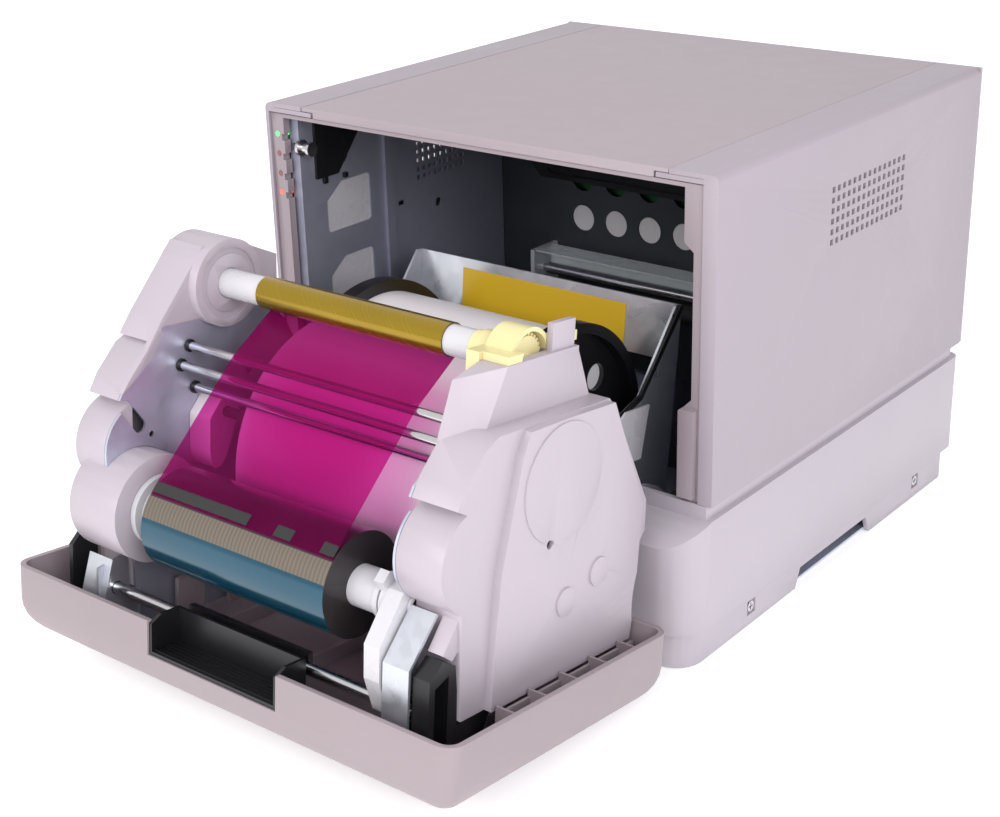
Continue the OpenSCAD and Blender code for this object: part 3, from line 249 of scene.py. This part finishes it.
# Teal roll with dark layered ends, a tan stripe zone and the dark start of the film
def supplyFilm():
    values = dict(colour=(0.004, 0.085, 0.14), low=(0.001, 0.035, 0.068), axis=(-0.21979, 0.09811),
                  tan=((0.185, 0.155, 0.12), (0.13, 0.108, 0.085)), dark=(0.05, 0.006, 0.03),
                  end=(0.012, 0.008, 0.009), tanBelow=1.185, darkBelow=0.75, stripes=2400.0, rings=9000.0)
    g, face, side, band, _ = woundFilm("tealRibbon", values["colour"], values["low"])
    p = g.where()
    y = values["axis"][0] - g.split(p, "Y")
    z = g.split(p, "Z") - values["axis"][1]
    angle = g.math("ARCTAN2", y, z)
    stripe = g.math("SINE", g.split(p, "X") * values["stripes"]) * 0.5 + 0.5
    near = g.math("LESS_THAN", angle, values["tanBelow"])
    under = g.math("LESS_THAN", angle, values["darkBelow"])
    face = g.mix(near, face, g.mix(stripe, *values["tan"]))
    face = g.mix(under, face, values["dark"])
    g.feed("Base Color", g.mix(side, face, values["end"]))
    g.feed("Metallic", (1.0 - side) * 0.55)
    ring = g.math("SINE", (y * y + z * z) ** 0.5 * values["rings"]) * 0.5 + 0.5
    g.feed("Roughness", 0.17 + 0.06 * band + 0.3 * side + 0.12 * near)
    g.bump(band * (1.0 - side) + ring * side, 0.1, 0.0003)
    return g.material


def takeupFilm():
    values = dict(colour=(0.42, 0.28, 0.004), low=(0.20, 0.12, 0.002), end=(0.10, 0.06, 0.015),
                  lines=700.0, slant=900.0)
    g, face, side, band, wave = woundFilm("goldRibbon", values["colour"], values["low"], values["lines"],
                                          values["slant"])
    g.feed("Base Color", g.mix(side, face, values["end"]))
    g.feed("Metallic", 0.85 - 0.6 * side)
    g.feed("Roughness", 0.2 + 0.12 * band + 0.3 * side)
    g.bump(band + 0.6 * wave, 0.15, 0.0004)
    return g.material


materials["teal"] = supplyFilm()
materials["gold"] = takeupFilm()


# Stretched film: tints what lies behind it, with printed marks by the supply roll
def magentaFilm():
    values = dict(see=(0.94, 0.35, 0.75), low=(0.20, 0.004, 0.10), colour=(0.30, 0.006, 0.14),
                  ink=(0.03, 0.03, 0.03), row=(0.1206, 0.1246), barEnd=0.005,
                  squares=((0.024, 0.036), (0.056, 0.067)), inkCover=0.72)  # places in metres
    g = Graph("magentaRibbon", IOR=1.45, Roughness=0.08)
    wave = g.noise(26.0, 3.0)
    g.bump(wave, 0.08, 0.002)
    p = g.where()
    x, z = g.split(p, "X"), g.split(p, "Z")
    clear = g.tree.nodes.new("ShaderNodeBsdfTransparent")
    clear.inputs[0].default_value = values["see"] + (1,)
    either = g.tree.nodes.new("ShaderNodeMixShader")
    gloss = g.node("ShaderNodeFresnel", IOR=1.35)
    low, high = values["row"]
    marks = g.math("LESS_THAN", x, values["barEnd"])
    for start, end in values["squares"]:
        marks = marks + g.math("GREATER_THAN", x, start) * g.math("LESS_THAN", x, end)
    ink = g.math("GREATER_THAN", z, low) * g.math("LESS_THAN", z, high) * marks
    cover = 0.07 + 0.06 * wave + 0.5 * gloss
    g.put(either.inputs[0], g.math("ADD", cover, values["inkCover"] * ink, clamp=True))
    g.tree.links.new(clear.outputs[0], either.inputs[1])
    g.tree.links.new(g.shader.outputs[0], either.inputs[2])
    g.tree.links.new(either.outputs[0], g.tree.nodes["Material Output"].inputs[0])
    g.feed("Base Color", g.mix(ink, g.mix(wave, values["low"], values["colour"]), values["ink"]))
    return g.material


def rollPaper():
    g = Graph("rollPaper")
    side = g.sideways(0.6, 0.9)
    layer = g.noise(2200.0, 1.0)
    g.feed("Base Color", g.mix(side * layer, (0.88, 0.84, 0.87), (0.6, 0.6, 0.63)))
    g.feed("Roughness", 0.35 + 0.25 * side)
    g.bump(g.noise(30.0, 2.0), 0.03, 0.001)
    return g.material


materials["clear"] = clearPlastic()
materials["film"] = magentaFilm()
materials["paper"] = rollPaper()

finish = {
    "casing": ["left_panel", "right_panel", "rear_panel", "hinge_apron"],
    "door": ["door_panel"],
    "top": ["top_panel"],
    "bezel": ["front_bezel"],
    "base": ["base_shell"],
    "cover": ["left_cover", "right_cover"],
    "black": ["sensor_bracket", "head_arm", "fan_frame", "fan_rotor", "power_inlet", "power_switch",
              "door_damper", "grip_pocket", "rod_bushes", "roll_flanges", "print_head", "edge_trim", "latch_block"],
    "zinc": ["base_floor", "left_frame", "right_frame", "power_supply"],
    "bright zinc": ["magazine", "latch_brackets"],
    "zinc with painted wall shade": ["left_wall", "right_wall"],
    # The side walls: zinc darkened with painted shade
    "zinc with painted partition shade": ["partition"],
    # The partition: zinc made near black with painted shade
    "wire": ["wire_harness"],
    "steel": ["base_screws", "hinge_pins", "striker_pins", "rear_screws", "guide_rods", "latch_lever",
              "pinch_roller"],
    "white": ["window_backs", "paper_guide", "supply_core", "takeup_core", "supply_holders", "roll_guard"],
    "cream": ["takeup_gear", "gear_holder"],
    "rubber": ["rubber_feet", "feed_roller", "platen_roller"],
    "teal": ["supply_ribbon"],
    "gold": ["takeup_ribbon"],
    "film": ["ribbon_web"],
    "paper": ["paper_roll"],
    "yellow": ["caution_plate"],
    "lens": ["indicator_lenses"],
    "clear": ["clear_guide"],
    "board": ["main_board"],
    "aluminium": ["head_heatsink"],
}


def paint(obj, material):
    obj.data.materials.clear()
    obj.data.materials.append(material)


for key, names in finish.items():
    for name in names:
        paint(frame["nodes"][name], materials[key])
bodies = {name: body for body, names in frame["record"]["behaviour"]["bodies"].items() for name in names}
print("materials assigned")


def collection(obj):
    bpy.context.scene.collection.objects.link(obj)
    return obj


def breakEdges(obj, width, segments, limit):
    modifier = obj.modifiers.new("bevel", "BEVEL")
    modifier.width = width
    modifier.segments = segments
    modifier.limit_method = "ANGLE"
    modifier.angle_limit = math.radians(limit)
    modifier.harden_normals = True
    obj.data.polygons.foreach_set("use_smooth", [True] * len(obj.data.polygons))
    bpy.context.view_layer.update()
    done = bpy.data.meshes.new_from_object(obj.evaluated_get(bpy.context.evaluated_depsgraph_get()))
    obj.modifiers.clear()
    obj.data = done


# A copy of a CAD solid with its edges broken, which then stands for it
def softened(node, width):
    source = frame["nodes"][node]
    mesh = source.data.copy()
    work = bmesh.new()
    work.from_mesh(mesh)
    bmesh.ops.remove_doubles(work, verts=work.verts, dist=0.00001)
    bmesh.ops.dissolve_limit(work, angle_limit=math.radians(0.5), verts=work.verts, edges=work.edges)
    work.to_mesh(mesh)
    work.free()
    obj = collection(bpy.data.objects.new("fine_" + node, mesh))
    breakEdges(obj, width, 2, 35)
    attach(obj, bodies[node])
    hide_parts(node)


def makeCamera():
    values = dict(focal=1747.06, azimuth=38.907, elevation=22.534, roll=-1.58,
                  place=(603.8, -728.42, 509.41), film=36.0)  # pixels, degrees, millimetres
    a, e, r = (math.radians(values[k]) for k in ("azimuth", "elevation", "roll"))
    back = Vector((math.sin(a) * math.cos(e), -math.cos(a) * math.cos(e), math.sin(e)))
    right = Vector((math.cos(a), math.sin(a), 0))
    up = back.cross(right)
    side = math.cos(r) * right + math.sin(r) * up
    top = -math.sin(r) * right + math.cos(r) * up
    camera = bpy.data.cameras.new("camera")
    camera.sensor_width = values["film"]
    camera.lens = values["focal"] / 1000 * values["film"]
    camera.clip_start = 0.01
    obj = collection(bpy.data.objects.new("camera", camera))
    turn = Matrix((side, top, back)).transposed().to_4x4()
    x, y, z = values["place"]
    obj.matrix_world = Matrix.Translation(Vector((x, y - middle, z)) / 1000) @ turn
    bpy.context.scene.camera = obj


makeCamera()


def areaLight(name, place, aim, size, power, colour):
    light = bpy.data.lights.new(name, "AREA")
    light.shape = "RECTANGLE"
    light.size, light.size_y = size
    light.energy = power
    light.color = colour
    obj = collection(bpy.data.objects.new(name, light))
    obj.location = place
    obj.rotation_euler = (Vector(aim) - Vector(place)).to_track_quat("-Z", "Y").to_euler()


def makeStage():
    values = dict(half=6.0, drop=0.0002, glow=0.3, tones=((0.95, 0.95, 0.95), (0.965, 0.965, 0.965)),
                  sky=0.98, behind=1.1, lights={  # place, aim, size in metres, power in watts, colour
                      "keyLight": ((1.5, -1.0, 0.95), (0, -0.05, 0.12), (0.9, 0.7), 15, (0.97, 0.97, 1.0)),
                      "frontLight": ((-0.2, -1.9, 1.0), (0, -0.1, 0.1), (0.9, 0.4), 13, (1.0, 0.985, 0.97)),
                      "topLight": ((0, 0.2, 2.0), (0, 0, 0), (1.6, 1.6), 2, (1, 1, 1))})
    mesh = bpy.data.meshes.new("floor")
    work = bmesh.new()
    bmesh.ops.create_grid(work, x_segments=8, y_segments=8, size=values["half"])
    work.to_mesh(mesh)
    work.free()
    floor = collection(bpy.data.objects.new("floor", mesh))
    floor.location = (0, 0, -values["drop"])
    g = Graph("paleFloor", Roughness=0.9, Emission_Strength=values["glow"])
    tone = g.mix(g.noise(2.0), *values["tones"])
    g.feed("Base Color", tone)
    g.feed("Emission Color", tone)
    paint(floor, g.material)
    world = bpy.data.worlds.new("world")
    bpy.context.scene.world = world
    world.use_nodes = True
    nodes, links = world.node_tree.nodes, world.node_tree.links
    soft = nodes["Background"]
    soft.inputs[0].default_value = (1.0, 0.995, 1.0, 1)
    soft.inputs[1].default_value = values["sky"]
    plain = nodes.new("ShaderNodeBackground")
    plain.inputs[0].default_value = (1, 1, 1, 1)
    plain.inputs[1].default_value = values["behind"]
    path = nodes.new("ShaderNodeLightPath")
    either = nodes.new("ShaderNodeMixShader")
    links.new(path.outputs["Is Camera Ray"], either.inputs[0])
    links.new(soft.outputs[0], either.inputs[1])
    links.new(plain.outputs[0], either.inputs[2])
    links.new(either.outputs[0], nodes["World Output"].inputs[0])
    for name, light in values["lights"].items():
        areaLight(name, *light)
    bpy.context.scene.view_settings.view_transform = "Standard"


makeStage()
print("camera and stage ready")


# Shut door place in the photo's frame, in millimetres, turned to the open rest pose
def opened(x, y, z):
    values = dict(hinge=(11.0, 45.0), angle=83.3)
    hingeY, hingeZ = values["hinge"]
    c, s = math.cos(math.radians(values["angle"])), math.sin(math.radians(values["angle"]))
    dy, dz = y - hingeY, z - hingeZ
    return Vector((x, hingeY + dy * c - dz * s - middle, hingeZ + dy * s + dz * c)) / 1000


# A closed body through rings of points, capped at both ends or joined round
def skin(work, rings, closed):
    rows = [[work.verts.new(p) for p in ring] for ring in rings]
    last = len(rows) if closed else len(rows) - 1
    for i in range(last):
        a, b = rows[i], rows[(i + 1) % len(rows)]
        for j in range(len(a)):
            k = (j + 1) % len(a)
            work.faces.new((a[j], a[k], b[k], b[j]))
    if not closed:
        work.faces.new(list(reversed(rows[0])))
        work.faces.new(rows[-1])


# Turns the mesh work into a piece with broken edges that rides on the node's body
def finishPiece(name, work, material, node, bevel):
    mesh = bpy.data.meshes.new(name)
    bmesh.ops.recalc_face_normals(work, faces=work.faces)
    work.to_mesh(mesh)
    work.free()
    obj = collection(bpy.data.objects.new(name, mesh))
    paint(obj, material)
    breakEdges(obj, bevel, 2, 40)
    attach(obj, bodies[node])
    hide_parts(node)


# Distance from the centre to the outline along the line through a point, in lengths to that point
def reach(centre, point, outline):
    (sy, sz), (y, z) = centre, point
    best = None
    for (ay, az), (by, bz) in zip(outline, outline[1:] + outline[:1]):
        det = (y - sy) * (bz - az) - (z - sz) * (by - ay)
        if abs(det) < 1e-9:
            continue
        t = ((ay - sy) * (bz - az) - (az - sz) * (by - ay)) / det
        u = ((ay - sy) * (z - sz) - (az - sz) * (y - sy)) / det
        if t > 0 and -1e-6 <= u <= 1 + 1e-6 and (best is None or t < best):
            best = t
    return best


# The white guide behind the film: a rolled sheet with a flanged left end, on two cheeks
def makeGuide():
    values = dict(centre=(60, 122), inner=75.5, outer=77.0, left=-62, right=72, low=4, high=116, steps=56,
                  rim=6.0, rimDepth=1.6, rimGap=0.05, rimStep=0.4, cheek=(86.0, 102.9), shaft=(86, 184),
                  bore=3.05, boreSteps=48, bevel=0.0003)  # millimetres and degrees, the bevel in metres
    outline = [(54, 193), (60, 196.5), (84, 196.5), (94, 188), (94, 178), (84, 174), (54, 186)]
    cy, cz = values["centre"]
    steps = values["steps"]
    span = values["high"] - values["low"]
    angles = [math.radians(values["low"] + span * i / steps) for i in range(steps + 1)]
    work = bmesh.new()

    def arc(radius, x):
        return [opened(x, cy + radius * math.cos(a), cz + radius * math.sin(a)) for a in angles]

    def shell(x0, x1, inner, outer):
        rings = zip(arc(outer, x0), arc(outer, x1), arc(inner, x1), arc(inner, x0))
        skin(work, [list(ring) for ring in rings], False)

    left = values["left"]
    shell(left, values["right"], values["inner"], values["outer"])
    shell(left - values["rimDepth"], left - values["rimGap"], values["inner"] - values["rim"],
          values["outer"] - values["rimStep"])
    sy, sz = values["shaft"]
    turns = [2 * math.pi * i / values["boreSteps"] for i in range(values["boreSteps"])]
    bore = [(sy + values["bore"] * math.cos(a), sz + values["bore"] * math.sin(a)) for a in turns]
    around = []
    for y, z in bore:
        far = reach(values["shaft"], (y, z), outline)
        around.append((sy + (y - sy) * far, sz + (z - sz) * far))
    for sign in (-1, 1):
        x0, x1 = (sign * v for v in values["cheek"])
        rings = [[opened(x0, *o), opened(x1, *o), opened(x1, *i), opened(x0, *i)]
                 for o, i in zip(around, bore)]
        skin(work, rings, True)
    finishPiece("filmGuide", work, materials["guide"], "paper_guide", values["bevel"])


makeGuide()
print("film guide built")

fineWidths = {
    "door_panel": 0.0008, "top_panel": 0.0007, "left_panel": 0.0007, "right_panel": 0.0007,
    "base_shell": 0.001, "right_cover": 0.0012, "left_cover": 0.0012, "front_bezel": 0.0004,
}
for name, width in fineWidths.items():
    softened(name, width)
print("edges softened")
